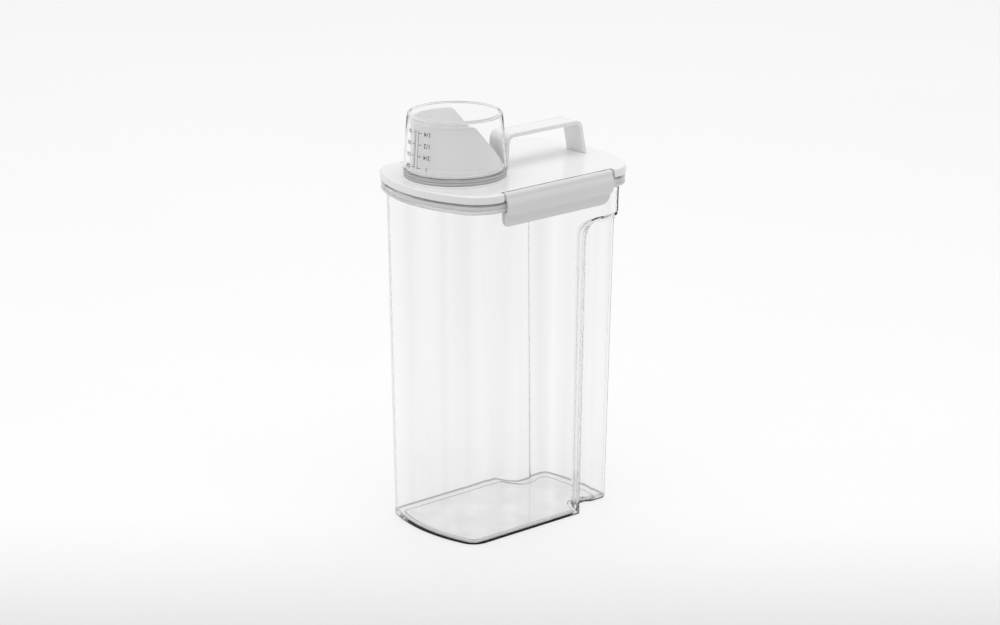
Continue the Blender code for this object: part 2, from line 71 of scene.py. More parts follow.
# container: wall, floor, foot rim, flanged mouth rim and the finger recesses
WALL, FLOOR, FOOT_W, FOOT_H = 2.4, 3.4, 8.5, 1.0
RIM_TOP, RIM_BOTTOM = LID_TOP - 9.2, LID_TOP - 16.0
RECESS_Z, RECESS_X, RECESS_RUN, RECESS_R, RECESS_TILT = 266.0, 39.5, 14.0, 17.0, 0.004
RECESS_Y, RECESS_Y_REAR, RIDGE_X, RIDGE_RUN = 38.2, 41.5, 63.0, 7.0

# spout, its seal ring and the cup, all about one upright axis at AXIS_X
AXIS_X = (cup_low.x + cup_high.x) / 2
SPOUT_R, SPOUT_R_BASE, SPOUT_R_TOP, SPOUT_T, SPOUT_TOP = 36.0, 38.0, 37.3, 1.8, 360.5
SPOUT_TURN, SPOUT_CUT, SPOUT_CUT_SLOPE = -25.0, 8.2, 1.25
SPOUT_FOOT, SPOUT_FLANGE, COLLAR_R, SPOUT_LIP = 9.0, 13.4, 40.8, 0.6
SEAL_R_IN, SEAL_R_OUT = 38.3, 43.5
CUP_T, CUP_R_TOP, CUP_R_BASE, CUP_EDGE = 1.85, 40.1, (cup_high.x - cup_low.x) / 2, 2.2

# handle band, hinge bars on their lugs, and the latches that swing on them
HANDLE_T, HANDLE_BEND, SLOT_PLAY = 3.5, 8.5, 0.35
HINGE_Y, HINGE_Z, BAR_R, HINGE_GAP_R = 67.4, LID_TOP - 3.6, 1.2, 3.95
LUGS_X, LUG_W = (-49.0, -14.5, 19.5, 54.0), 5.0
LATCH_X0, LATCH_X1, LATCH_DROP = latch_low.x, latch_high.x, 29.7


# ------------------------------------------------------------------ materials
def principled(name, **values):
    """A material whose Principled sockets hold plain values."""
    mat = bpy.data.materials.new(name)
    mat.use_nodes = True
    shader = mat.node_tree.nodes["Principled BSDF"]
    for key, value in values.items():
        socket = shader.inputs[key.replace("_", " ")]
        socket.default_value = (*value, 1.0) if isinstance(value, tuple) else value
    return mat, mat.node_tree, shader


def noise(tree, scale, detail=3.0, rough=0.5, stretch=(1, 1, 1)):
    """Fractal noise in the piece's own space, as a value from 0 to 1."""
    coords = tree.nodes.new("ShaderNodeTexCoord")
    mapping = tree.nodes.new("ShaderNodeMapping")
    mapping.inputs["Scale"].default_value = stretch
    tex = tree.nodes.new("ShaderNodeTexNoise")
    tex.inputs["Scale"].default_value = scale
    tex.inputs["Detail"].default_value = detail
    tex.inputs["Roughness"].default_value = rough
    tree.links.new(coords.outputs["Object"], mapping.inputs["Vector"])
    tree.links.new(mapping.outputs["Vector"], tex.inputs["Vector"])
    return tex.outputs["Fac"]


def span(tree, fac, low, high, start=0.0, stop=1.0, ease="LINEAR"):
    """Map a value that runs from start to stop onto low..high."""
    node = tree.nodes.new("ShaderNodeMapRange")
    node.interpolation_type = ease
    for key, value in (("From Min", start), ("From Max", stop), ("To Min", low), ("To Max", high)):
        node.inputs[key].default_value = value
    tree.links.new(fac, node.inputs["Value"])
    return node.outputs["Result"]


def mottle(tree, shader, fac, dark, light):
    """Base colour drifting between two near shades."""
    tint = tree.nodes.new("ShaderNodeMix")
    tint.data_type = "RGBA"
    tint.inputs["A"].default_value = (*dark, 1.0)
    tint.inputs["B"].default_value = (*light, 1.0)
    tree.links.new(fac, tint.inputs["Factor"])
    tree.links.new(tint.outputs["Result"], shader.inputs["Base Color"])


def ramp_between(tree, fac, start, first, stop, last):
    """Colour ramp from one colour at start to another at stop."""
    ramp = tree.nodes.new("ShaderNodeValToRGB")
    for element, place, colour in zip(ramp.color_ramp.elements, (start, stop), (first, last)):
        element.position, element.color = place, (*colour, 1.0)
    tree.links.new(fac, ramp.inputs["Fac"])
    return ramp.outputs["Color"]


def bump(tree, shader, height, strength, distance):
    """Fine relief from a height value; distance is in metres."""
    node = tree.nodes.new("ShaderNodeBump")
    node.inputs["Strength"].default_value = strength
    node.inputs["Distance"].default_value = distance
    tree.links.new(height, node.inputs["Height"])
    tree.links.new(node.outputs["Normal"], shader.inputs["Normal"])


def moulded(name, colour, roughness, grain=0.06):
    """Glossy moulded plastic: faint flow shading and a fine uneven sheen."""
    mat, tree, shader = principled(name, Specular_IOR_Level=0.5)
    mottle(tree, shader, noise(tree, 9.0, 2.0), [c * 0.985 for c in colour], colour)
    fine = noise(tree, 900.0, 3.0, 0.6)
    tree.links.new(span(tree, fine, roughness - 0.03, roughness + 0.03),
                   shader.inputs["Roughness"])
    bump(tree, shader, fine, grain, 0.00005)
    return mat


def rubber(name, colour):
    """Soft matt rubber with a fine grain."""
    mat, tree, shader = principled(name, Specular_IOR_Level=0.35)
    fine = noise(tree, 1400.0, 4.0, 0.65)
    mottle(tree, shader, noise(tree, 60.0, 3.0),
           [c * 0.9 for c in colour], [min(1.0, c * 1.08) for c in colour])
    tree.links.new(span(tree, fine, 0.48, 0.62), shader.inputs["Roughness"])
    bump(tree, shader, fine, 0.25, 0.00008)
    return mat


def clear_plastic(name, tint, edge_painted_shade, density, wave=0.003, streak=1.0, ior=1.07,
                  clearness=1.0):
    """Clear moulded styrene, greyer where the wall is seen edge on: painted shade standing in for
    the dark edges that refraction gives.

    streak is the shade of the faint upright bands, wave the height of the wall's ripple.
    """
    mat, tree, shader = principled(name, Roughness=0.012, IOR=ior, Transmission_Weight=clearness,
                                   Specular_IOR_Level=0.5, Coat_Weight=0.35, Coat_IOR=1.5,
                                   Coat_Roughness=0.01)
    facing = tree.nodes.new("ShaderNodeLayerWeight")
    facing.inputs["Blend"].default_value = 0.5
    # painted shade: the base colour darkens where the surface is seen edge on
    edge = ramp_between(tree, facing.outputs["Facing"], 0.62, tint, 1.0, edge_painted_shade)
    bands = noise(tree, 34.0, 2.0, 0.55, (1.0, 1.0, 0.012))
    draw = tree.nodes.new("ShaderNodeMix")
    draw.data_type, draw.blend_type = "RGBA", "MULTIPLY"
    draw.inputs["Factor"].default_value = 1.0
    tree.links.new(edge, draw.inputs["A"])
    tree.links.new(span(tree, bands, streak, 1.0, 0.35, 0.65), draw.inputs["B"])
    tree.links.new(draw.outputs["Result"], shader.inputs["Base Color"])
    bump(tree, shader, noise(tree, 14.0, 1.0, 0.4, (1, 1, 0.35)), wave, 0.0006)
    fog = tree.nodes.new("ShaderNodeVolumeAbsorption")
    fog.inputs["Color"].default_value = (0.55, 0.56, 0.57, 1.0)
    fog.inputs["Density"].default_value = density
    tree.links.new(fog.outputs["Volume"], tree.nodes["Material Output"].inputs["Volume"])
    return mat


# painted highlight: a whiter, less clear glass for the container's mouth rim and the cup's round
# edge
clear_rim_painted_highlight = clear_plastic("clear_rim_painted_highlight", (0.97, 0.97, 0.975), (0.9, 0.9, 0.9), 4.0, clearness=0.42)
# painted shade: a dark grey glass for the foot's edge, in place of the contact shadow seen there
clear_foot_painted_shade = clear_plastic("clear_foot_painted_shade", (0.35, 0.35, 0.36), (0.06, 0.06, 0.065), 40.0)
clear_body = clear_plastic("clear_body", (1.0, 1.0, 1.0), (0.82, 0.82, 0.83), 6.0,
                           wave=0.002, streak=0.93)
clear_cup = clear_plastic("clear_cup", (1.0, 1.0, 1.0), (1.0, 1.0, 1.0), 1.0,
                          wave=0.002, ior=1.04)
white_lid = moulded("white_lid", (0.86, 0.86, 0.865), 0.13)
white_handle = moulded("white_handle", (0.84, 0.84, 0.845), 0.17)
# painted shade: the latch is the lid's white, darkened for the shade on its upright faces
white_latch = moulded("white_latch", (0.74, 0.737, 0.742), 0.19)
white_spout = moulded("white_spout", (0.93, 0.925, 0.93), 0.30)
grey_seal = rubber("grey_seal", (0.52, 0.52, 0.53))
pale_seal = rubber("pale_seal", (0.78, 0.78, 0.79))
ink, ink_tree, ink_shader = principled("grey_ink", Base_Color=(0.05, 0.05, 0.055))
ink_tree.links.new(span(ink_tree, noise(ink_tree, 700.0), 0.35, 0.55),
                   ink_shader.inputs["Roughness"])


# --------------------------------------------------------------- mesh helpers
def finish_mesh(bm, name, merge=1e-7):
    """Weld and orient a bmesh, and turn it into a mesh."""
    bmesh.ops.remove_doubles(bm, verts=bm.verts, dist=merge)
    bmesh.ops.dissolve_degenerate(bm, dist=1e-8, edges=bm.edges)
    bmesh.ops.recalc_face_normals(bm, faces=bm.faces)
    mesh = bpy.data.meshes.new(name)
    bm.to_mesh(mesh)
    bm.free()
    return mesh


def add_piece(name, mesh, mat=None):
    ob = bpy.data.objects.new(name, mesh)
    bpy.context.scene.collection.objects.link(ob)
    if mat:
        mesh.materials.append(mat)
    return ob


def smooth(ob, angle):
    """Smooth shading, with edges sharper than the angle kept crisp."""
    ob.data.polygons.foreach_set("use_smooth", [True] * len(ob.data.polygons))
    ob.data.set_sharp_from_angle(angle=math.radians(angle))


def settle(ob):
    """Replace the mesh by its evaluated one and drop the modifiers."""
    graph = bpy.context.evaluated_depsgraph_get()
    mesh = bpy.data.meshes.new_from_object(ob.evaluated_get(graph))
    ob.modifiers.clear()
    ob.data = mesh


def carve(ob, cutters, operation="DIFFERENCE"):
    """Cut the cutters from a piece, or weld them on, and remove them."""
    for cutter in cutters:
        mod = ob.modifiers.new("cut", "BOOLEAN")
        mod.operation, mod.solver, mod.object = operation, "EXACT", cutter
        settle(ob)
        bpy.data.objects.remove(cutter, do_unlink=True)


def revolve(name, profile, segments=192, mat=None):
    """Closed (radius, height) profile turned about the spout's axis."""
    bm = bmesh.new()
    rings = []
    for i in range(segments):
        a = 2 * math.pi * i / segments
        rings.append([bm.verts.new(((AXIS_X + r * math.cos(a)) * MM, r * math.sin(a) * MM,
                                    z * MM)) for r, z in profile])
    count = len(profile)
    for i in range(segments):
        here, there = rings[i], rings[(i + 1) % segments]
        for k in range(count):
            m = (k + 1) % count
            if profile[k][0] == 0 and profile[m][0] == 0:
                continue
            bm.faces.new((here[k], there[k], there[m], here[m]))
    return add_piece(name, finish_mesh(bm, name), mat)


def prism(name, outline, axis, lo, hi, mat=None):
    """Extrude a closed outline: (y, z) points along x, or (x, z) points along y."""
    bm = bmesh.new()
    if axis == "x":
        points, move = [(lo, a, b) for a, b in outline], (hi - lo, 0, 0)
    else:
        points, move = [(a, lo, b) for a, b in outline], (0, hi - lo, 0)
    face = bm.faces.new([bm.verts.new([c * MM for c in p]) for p in points])
    out = bmesh.ops.extrude_face_region(bm, geom=[face])
    moved = [g for g in out["geom"] if isinstance(g, bmesh.types.BMVert)]
    bmesh.ops.translate(bm, vec=[c * MM for c in move], verts=moved)
    return add_piece(name, finish_mesh(bm, name), mat)


def block(name, lo, hi):
    """Box between two corners."""
    outline = [(lo[0], lo[2]), (hi[0], lo[2]), (hi[0], hi[2]), (lo[0], hi[2])]
    return prism(name, outline, "y", lo[1], hi[1])


def rod(name, radius, x0, x1, y, z, segments):
    """Round bar along x."""
    outline = [(y + radius * math.cos(2 * math.pi * i / segments),
                z + radius * math.sin(2 * math.pi * i / segments)) for i in range(segments)]
    return prism(name, outline, "x", x0, x1)


def arc(cx, cy, radius, a0, a1, steps):
    """Points round an arc, from angle a0 to a1 in degrees."""
    return [(cx + radius * math.cos(math.radians(a0 + (a1 - a0) * i / steps)),
             cy + radius * math.sin(math.radians(a0 + (a1 - a0) * i / steps)))
            for i in range(steps + 1)]


def smoothstep(t):
    t = min(1.0, max(0.0, t))
    return t * t * (3 - 2 * t)


def recess_step(t):
    """Depth of the recess along its step: a tight fold, then an easy curve."""
    t = min(1.0, max(0.0, t))
    return smoothstep(t * math.sqrt(1.1 / (t + 0.1)))


# ------------------------------------------------------------ shared outlines
N_FRONT, N_CORNER, N_REAR = 28, 16, 16
REAR_BLEND_X = 62.0


def spread(lo, hi, count):
    """Values from lo to hi in equal steps."""
    return [lo + (hi - lo) * i / count for i in range(count + 1)]


# stations along a side wall, close together where the finger recess steps in
SIDE_X = (spread(-60.0, 34.0, 12) + spread(35.0, 36.5, 3) + spread(36.9, 42.0, 20)
          + spread(42.5, 55.0, 25) + spread(56.0, 74.0, 24))


class Plan:
    """A plan outline: bowed ends, straight sides, rounded corners."""

    def __init__(self, half_w, front, front_r, front_corner, rear, rear_r, rear_corner):
        self.v = (half_w, front, front_r, front_corner, rear, rear_r, rear_corner)

    def inset(self, d):
        h, f, fr, fc, r, rr, rc = self.v
        return Plan(h - d, f + d, fr - d, max(fc - d, 0.6), r - d, rr - d, max(rc - d, 0.6))

    def mix(self, other, t):
        return Plan(*[a + (b - a) * t for a, b in zip(self.v, other.v)])

    def half(self):
        """Points of the +Y half, from the front middle round to the rear middle."""
        h, f, fr, fc, r, rr, rc = self.v
        fx = f + fr - math.sqrt((fr - fc) ** 2 - (h - fc) ** 2)
        rx = r - rr + math.sqrt((rr - rc) ** 2 - (h - rc) ** 2)
        af = math.atan2(h - fc, fx - (f + fr))
        ar = math.atan2(h - rc, rx - (r - rr))
        pts = []
        for i in range(N_FRONT + 1):
            a = math.pi + (af - math.pi) * i / N_FRONT
            pts.append((f + fr + fr * math.cos(a), fr * math.sin(a)))
        for i in range(1, N_CORNER + 1):
            a = af + (math.pi / 2 - af) * i / N_CORNER
            pts.append((fx + fc * math.cos(a), h - fc + fc * math.sin(a)))
        last = SIDE_X[-1]
        for x in SIDE_X:
            late = max(0.0, (x - REAR_BLEND_X) / (last - REAR_BLEND_X))
            pts.append((x + (rx - 0.8 - last) * late, h))
        for i in range(N_CORNER + 1):
            a = math.pi / 2 + (ar - math.pi / 2) * i / N_CORNER
            pts.append((rx + rc * math.cos(a), h - rc + rc * math.sin(a)))
        for i in range(1, N_REAR + 1):
            a = ar * (1 - i / N_REAR)
            pts.append((r - rr + rr * math.cos(a), rr * math.sin(a)))
        return pts

    def ring(self):
        return closed(self.half())


def closed(half):
    """Mirror a half outline into a whole one."""
    half = [(x, 0.0 if i in (0, len(half) - 1) else y) for i, (x, y) in enumerate(half)]
    return half + [(x, -y) for x, y in reversed(half[1:-1])]


def loft(name, rings, mat, cap=True, angle=35.0):
    """Skin (outline, z) rings that all have the same number of points."""
    bm = bmesh.new()
    rows = [[bm.verts.new((x * MM, y * MM, z * MM)) for x, y in pts] for pts, z in rings]
    n = len(rows[0])
    pairs = list(zip(rows, rows[1:])) + ([] if cap else [(rows[-1], rows[0])])
    for a, b in pairs:
        for i in range(n):
            j = (i + 1) % n
            bm.faces.new((a[i], a[j], b[j], b[i]))
    if cap:
        bm.faces.new(rows[0])
        bm.faces.new(rows[-1])
    ob = add_piece(name, finish_mesh(bm, name), mat)
    smooth(ob, angle)
    return ob


LID_PLAN = Plan(LID_HALF_W, lid_low.x, 114.0, 31.0, LID_HALF_L, 121.0, 25.0)
WALL_TOP = Plan(62.0, -95.7, 136.0, 22.0, 96.3, 140.0, 17.0)
WALL_BASE = Plan(57.0, -90.7, 142.0, 17.0, 89.9, 140.0, 17.0)
REAR_TOP = Plan(RECESS_Y_REAR + 3.5, -95.7, 136.0, 22.0, 96.6, 220.0, 7.0)
REAR_BASE = Plan(RECESS_Y_REAR, -90.7, 142.0, 17.0, 90.4, 220.0, 7.0)
MOUTH = WALL_TOP.inset(WALL)
PLUG = MOUTH.inset(1.2)


def body_section(z, inset=0.0, shift=0.0):
    """Container outline at a height: full width, narrowed by the finger recesses.

    shift moves the recess outwards, so that the inner skin follows the outer one.
    """
    t = z / RIM_BOTTOM
    full = WALL_BASE.mix(WALL_TOP, t).inset(inset).half()
    rear = REAR_BASE.mix(REAR_TOP, t).inset(inset)
    out = []
    for (x, y), (nx, ny) in zip(full, rear.half()):
        u = x - (RECESS_X + RECESS_TILT * z - shift)
        v = RECESS_Z + shift * 0.8 - z
        depth = min(u, v)
        if u < RECESS_R and v < RECESS_R:
            depth = RECESS_R - math.hypot(RECESS_R - u, RECESS_R - v)
        m = recess_step(depth / RECESS_RUN)
        if ny > rear.v[0] - 0.01:
            ny -= (RECESS_Y_REAR - RECESS_Y) * (1 - smoothstep((nx - RIDGE_X) / RIDGE_RUN))
        out.append((x + (nx - x) * m, y + (ny - y) * m))
    return closed(out)


# ------------------------------------------------------------------ container
def quarter(z0, inset0, radius, steps):
    """(inset, z) pairs round a base edge of one radius."""
    out = []
    for i in range(steps + 1):
        a = math.pi / 2 * i / steps
        out.append((inset0 + radius * (1 - math.sin(a)), z0 + radius * (1 - math.cos(a))))
    return out


def build_container():
    """Outer skin from the foot up to the rim, then the inner skin back down to the floor."""
    heights = [60, 120, 180, 220] + spread(232.0, 252.0, 20) + spread(252.5, 268.5, 32)
    heights += [270.0, 275.0, 282.0, 288.0]
    rings = [(body_section(0.0, FOOT_W + d), z)
             for d, z in ((2.2, FOOT_H), (1.2, FOOT_H), (0.3, 0.5), (0.0, 0.0))]
    rings += [(body_section(z, d), z) for d, z in quarter(0.0, 0.0, 2.0, 6)]
    rings += [(body_section(z), z) for z in heights]
    rim = LID_PLAN.inset(0.9)
    for plan, d, z in ((WALL_TOP, 0, -2.2), (WALL_TOP, -0.25, -1.1), (WALL_TOP, -0.9, -0.3),
                       (rim, 1.4, 0.0), (rim, 0.5, 0.15), (rim, 0.1, 0.5), (rim, 0.0, 1.0),
                       (rim, 0.0, 2.0), (rim, 0.25, 2.5), (rim, 0.9, 2.8), (rim, 1.1, 3.2),
                       (rim, 0.9, 3.7), (rim, 0.25, 4.0), (rim, 0.0, 4.5), (rim, 0.0, 5.9),
                       (rim, 0.2, 6.5), (rim, 0.8, 6.8)):
        rings.append((plan.inset(d).ring(), RIM_BOTTOM + z))
    for d, z in ((0.5, RIM_TOP), (0.1, RIM_TOP - 0.3), (0.0, RIM_TOP - 0.9),
                 (0.0, RIM_BOTTOM - 2.0)):
        rings.append((WALL_TOP.inset(WALL - d).ring(), z))
    shift = 2.0
    rings += [(body_section(z, WALL, shift), z) for z in reversed(heights)]
    rings += [(body_section(z, d, shift), z) for d, z in reversed(quarter(FLOOR, WALL, 3.0, 8))]
    rings += [(body_section(FLOOR, WALL + 3.6, shift), FLOOR)]
    ob = loft("container_shell", rings, clear_body)
    foot_line, rim_line, facing_down = 1.8 * MM, (RIM_BOTTOM - 0.4) * MM, -0.97
    ob.data.materials.append(clear_foot_painted_shade)
    ob.data.materials.append(clear_rim_painted_highlight)
    for face in ob.data.polygons:
        # faces round the foot take the dark glass of painted shade
        if face.center.z < foot_line and face.normal.z > facing_down:
            face.material_index = 1
        # faces round the mouth rim take the whiter glass of the painted highlight
        elif face.center.z > rim_line:
            face.material_index = 2
    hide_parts("container_body")
    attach(ob, "container")


# ------------------------------------------------------------------------ lid
def build_lid():
    """Plate, skirt and plug in one, with the spout's boss, hinge lugs and handle slots."""
    top, under = LID_TOP, LID_TOP - PLATE
    edge = [(LID_EDGE + 0.9, 0.0)]
    edge += [(LID_EDGE * (1 - math.sin(a)), LID_EDGE * (1 - math.cos(a)))
             for a in [math.pi / 2 * i / 9 for i in range(10)]]
    profile = [(LID_PLAN, d, top - z) for d, z in edge]
    profile += [(LID_PLAN, 0.0, top - SKIRT_H + 0.5), (LID_PLAN, 0.15, top - SKIRT_H + 0.15),
                (LID_PLAN, 0.5, top - SKIRT_H), (LID_PLAN, SKIRT_T, top - SKIRT_H),
                (LID_PLAN, SKIRT_T, under),
                (MOUTH, -1.6, under), (MOUTH, -1.6, RIM_TOP + 0.3),
                (PLUG, 0.0, RIM_TOP + 0.3), (PLUG, 0.0, top - GROOVE_TOP),
                (PLUG, GROOVE_DEPTH, top - GROOVE_TOP),
                (PLUG, GROOVE_DEPTH, top - GROOVE_BOTTOM),
                (PLUG, 0.0, top - GROOVE_BOTTOM), (PLUG, 0.0, top - PLUG_DEPTH + 0.8),
                (PLUG, 0.8, top - PLUG_DEPTH), (PLUG, PLUG_T, top - PLUG_DEPTH),
                (PLUG, PLUG_T, under)]
    lid = loft("lid_shell", [(plan.inset(d).ring(), z) for plan, d, z in profile], white_lid)

    boss_in, boss_low = BOSS_R - 8.5, top + BOSS_H - BOSS_EDGE
    boss = [(boss_in, top - 1.2), (BOSS_R + 0.5, top - 1.2), (BOSS_R + 0.4, top + 0.05),
            (BOSS_R, top + 0.3), (BOSS_R, boss_low)]
    boss += arc(BOSS_R - BOSS_EDGE, boss_low, BOSS_EDGE, 0, 90, 8)[1:]
    boss += [(boss_in, top + BOSS_H)]
    carve(lid, [revolve("boss", boss)], "UNION")

    room_r = SPOUT_R + 2.1
    hole = [(0, top - 6), (HOLE_R, top - 6), (HOLE_R, top + 6), (0, top + 6)]
    room = [(0, top - 12), (room_r, top - 12), (room_r, under - 0.1), (0, under - 0.1)]
    # the hole for the spout, and under the plate the wider room for its snap ring
    cuts = [revolve("hole", hole), revolve("room", room)]
    x0, x1 = LATCH_X0 - 2.3, LATCH_X1 + 2.6
    for side in (-1, 1):
        y = side * HINGE_Y
        cuts.append(rod("gap", HINGE_GAP_R, x0, x1, y, HINGE_Z, 64))
        lo, hi = sorted((y, side * (LID_HALF_W + 5)))
        cuts.append(block("skirt_gap", (x0, lo, top - SKIRT_H - 3), (x1, hi, top + 2)))
    carve(lid, cuts)

    adds = []
    for side in (-1, 1):
        arm = [(-7.0, -5.2), (-7.0, -1.6), (-3.4, -1.1)] + arc(0, 0, 2.1, 190, -100, 18)
        arm = [(side * (HINGE_Y + a), HINGE_Z + b) for a, b in arm]
        for x in LUGS_X:
            adds.append(prism("lug", arm, "x", x - LUG_W / 2, x + LUG_W / 2))
        adds.append(rod("bar", BAR_R, LUGS_X[0] - 1, LUGS_X[-1] + 1,
                        side * HINGE_Y, HINGE_Z, 24))
    carve(lid, adds, "UNION")

    slots = []
    half_slot = 11.4
    for x in (handle_low.x, handle_high.x - HANDLE_T):
        slots.append(block("slot", (x - SLOT_PLAY, -half_slot, top - 6),
                           (x + HANDLE_T + SLOT_PLAY, half_slot, top + 2)))
    carve(lid, slots)
    smooth(lid, 17)
    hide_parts("lid_cover")
    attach(lid, "lid")


def build_lid_seal():
    """Soft two-lipped ring in the plug's groove."""
    profile = [(PLUG, 0.8, 10.7), (MOUTH, 0.6, 10.9), (MOUTH, 0.3, 11.7), (MOUTH, 1.1, 12.7),
               (MOUTH, 0.3, 13.7), (MOUTH, 0.6, 14.5), (PLUG, 0.8, 14.7)]
    rings = [(plan.inset(d).ring(), LID_TOP - depth) for plan, d, depth in profile]
    ob = loft("mouth_seal", rings, pale_seal, cap=False, angle=50)
    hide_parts("lid_seal")
    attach(ob, "lid")


# -------------------------------------------------------------- spout and cup
def build_spout():
    """Open tube pressed into the lid, its mouth cut off on the slant."""
    top, r, t, lip = LID_TOP, SPOUT_R, SPOUT_T, SPOUT_LIP
    rb, rt = SPOUT_R_BASE, SPOUT_R_TOP
    foot, low, crest = top - SPOUT_FOOT, top + SPOUT_FLANGE, SPOUT_TOP - SPOUT_LIP
    profile = [(r - t, foot), (r + 0.4, foot), (r + 0.6, top - 6.6), (r + 1.7, top - 5.2),
               (r + 1.7, top - 3.2), (r + 0.6, top - 2.9), (r + 0.6, top + 2.5),
               (37.9, top + 2.5), (37.9, top + 8.0), (COLLAR_R, top + 8.0),
               (COLLAR_R, top + 9.6)]
    profile += arc(COLLAR_R - 0.5, top + 9.6, 0.5, 0, 90, 4)[1:]
    profile += [(39.2, top + 10.1), (38.95, top + 10.3), (38.6, top + 12.6)]
    profile += arc(38.0, top + 12.8, 0.6, 0, 90, 4)[1:]
    profile += [(rb + 0.3, low), (rb, top + 13.8), (rt, crest)]
    profile += arc(rt - lip, crest, lip, 0, 90, 4)[1:]
    profile += arc(rt - t + lip, crest, lip, 90, 180, 4)
    profile += [(rb - t, low)]
    spout = revolve("spout_tube", profile, 256, white_spout)

    # a slanted wedge, rounded where it starts and ends, takes the mouth's front away
    cut, foot_x = SPOUT_CUT, SPOUT_CUT + (SPOUT_TOP - low) / SPOUT_CUT_SLOPE
    outline = [(cut + a, SPOUT_TOP + b)
               for a, b in ((-10, 4), (-4.0, 0.2), (-2.6, -0.1), (-1.5, -0.6), (-0.4, -1.3),
                            (0.8, -2.2))]
    outline += [(foot_x + a, low + b) for a, b in ((-2.0, 2.2), (-0.5, 1.2), (1.0, 0.6))]
    outline += [(60, low + 0.15), (60, SPOUT_TOP + 4)]
    wedge = prism("wedge", outline, "y", -60, 60)
    wedge.data.transform(Matrix.Translation((AXIS_X * MM, 0, 0))
                         @ Matrix.Rotation(math.radians(SPOUT_TURN), 4, "Z"))
    carve(spout, [wedge])
    smooth(spout, 32)
    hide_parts("pour_spout")
    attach(spout, "lid")


def build_spout_seal():
    """Grey ring with two rounded lips round the spout's foot."""
    ri, ro = SEAL_R_IN, SEAL_R_OUT
    profile = [(r, LID_TOP + h) for r, h in (
        (ri, 2.5), (ro - 0.6, 2.5), (ro - 0.15, 2.65), (ro, 3.1),
        (ro, 4.3), (ro - 0.25, 4.65), (ro - 0.7, 4.9), (ro - 0.25, 5.15),
        (ro, 5.5), (ro, 7.0), (ro - 0.15, 7.4), (ro - 0.6, 7.6), (ri, 7.6))]
    ob = revolve("grey_ring", profile, 192, grey_seal)
    smooth(ob, 50)
    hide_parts("spout_seal")
    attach(ob, "lid")


def cup_radius(z):
    """Outer radius of the cup at a height."""
    t = (z - cup_low.z) / (cup_high.z - cup_low.z)
    return CUP_R_BASE + (CUP_R_TOP - CUP_R_BASE) * t


def build_cup():
    """Tapered cup, mouth down, its round edge whitened with a painted highlight, like the
    container's rim.
    """
    zb, zt, rb, rt, t = cup_low.z, cup_high.z, CUP_R_BASE, CUP_R_TOP, CUP_T
    slope, edge = (rt - rb) / (zt - zb), CUP_EDGE
    profile = [(rb - 0.5, zb), (rb - 0.12, zb + 0.15), (rb, zb + 0.6),
               (rt - slope * edge, zt - edge)]
    profile += arc(rt - edge, zt - edge, edge, 0, 90, 12)[1:]
    top = zt - 1.8
    profile += [(rt - edge - 0.6, zt), (0.0, zt), (0.0, top), (rt - t - 2.2, top)]
    profile += arc(rt - t - 1.6, top - 1.6, 1.6, 90, 0, 8)
    profile += [(rb - t, zb + 0.6), (rb - t + 0.1, zb + 0.15), (rb - t + 0.45, zb)]
    ob = revolve("clear_measure", profile, 256, clear_cup)
    # the faces of the cup's round top edge take the painted highlight
    ob.data.materials.append(clear_rim_painted_highlight)
    for face in ob.data.polygons:
        x, y, z = (c / MM for c in face.center)
        if z > zt - edge - 0.3 and math.hypot(x - AXIS_X, y) > rt - edge - 0.8:
            face.material_index = 1
    smooth(ob, 40)
    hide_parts("measuring_cup")
    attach(ob, "cup")


def build_scale():
    """The cup's printed measuring scale, upside down as the cup stands."""
    bm = bmesh.new()
    lift, thick = 0.03, 0.06

    def place(angle, z, out):
        r = cup_radius(z) + lift + out
        a = math.radians(angle)
        return ((AXIS_X + r * math.cos(a)) * MM, r * math.sin(a) * MM, z * MM)

    def bar(a0, a1, z0, z1):
        steps = max(1, round((a1 - a0) / 1.5))
        rows = []
        for i in range(steps + 1):
            a = a0 + (a1 - a0) * i / steps
            rows.append([bm.verts.new(place(a, z, out)) for z, out in
                         ((z0, 0), (z1, 0), (z1, thick), (z0, thick))])
        for a, b in zip(rows, rows[1:]):
            for k in range(4):
                bm.faces.new((a[k], a[(k + 1) % 4], b[(k + 1) % 4], b[k]))
        bm.faces.new(rows[0])
        bm.faces.new(rows[-1])

    def words(text, angle, z, size, align):
        curve = bpy.data.curves.new("digits", "FONT")
        curve.body, curve.size, curve.align_x, curve.align_y = text, size, align, "CENTER"
        curve.extrude, curve.offset, curve.resolution_u = thick / 2, 0.03, 3
        ob = add_piece("digits", curve)
        graph = bpy.context.evaluated_depsgraph_get()
        mesh = bpy.data.meshes.new_from_object(ob.evaluated_get(graph))
        for v in mesh.vertices:
            turn = math.degrees(v.co.x / cup_radius(z))
            v.co = place(angle - turn, z - v.co.y, v.co.z + thick / 2)
        bm.from_mesh(mesh)
        bpy.data.objects.remove(ob, do_unlink=True)

    marks = (("1/4", "50"), ("1/2", "100"), ("3/4", "150"), ("1", "200"))
    step, parts, top_mark = 9.75, 5, cup_high.z - 12.0
    low_mark = top_mark - 3 * step
    for angle in (178.6, 183.2):
        bar(angle - 0.28, angle + 0.28, low_mark - 1.2, top_mark + 1.8)
    for i in range(-1, 3 * parts + 1):
        z = top_mark - i * step / parts
        bar(175.8, 178.4, z - 0.2, z + 0.2)
    for i, (fraction, amount) in enumerate(marks):
        z = top_mark - i * step
        bar(183.4, 188.2, z - 0.25, z + 0.25)
        bar(173.2, 178.4, z - 0.25, z + 0.25)
        words(fraction, 196.5, z, 5.4, "CENTER")
        words(amount, 166.5, z, 4.6, "CENTER")
    ob = add_piece("printed_scale", finish_mesh(bm, "printed_scale", 1e-8), ink)
    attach(ob, "cup")


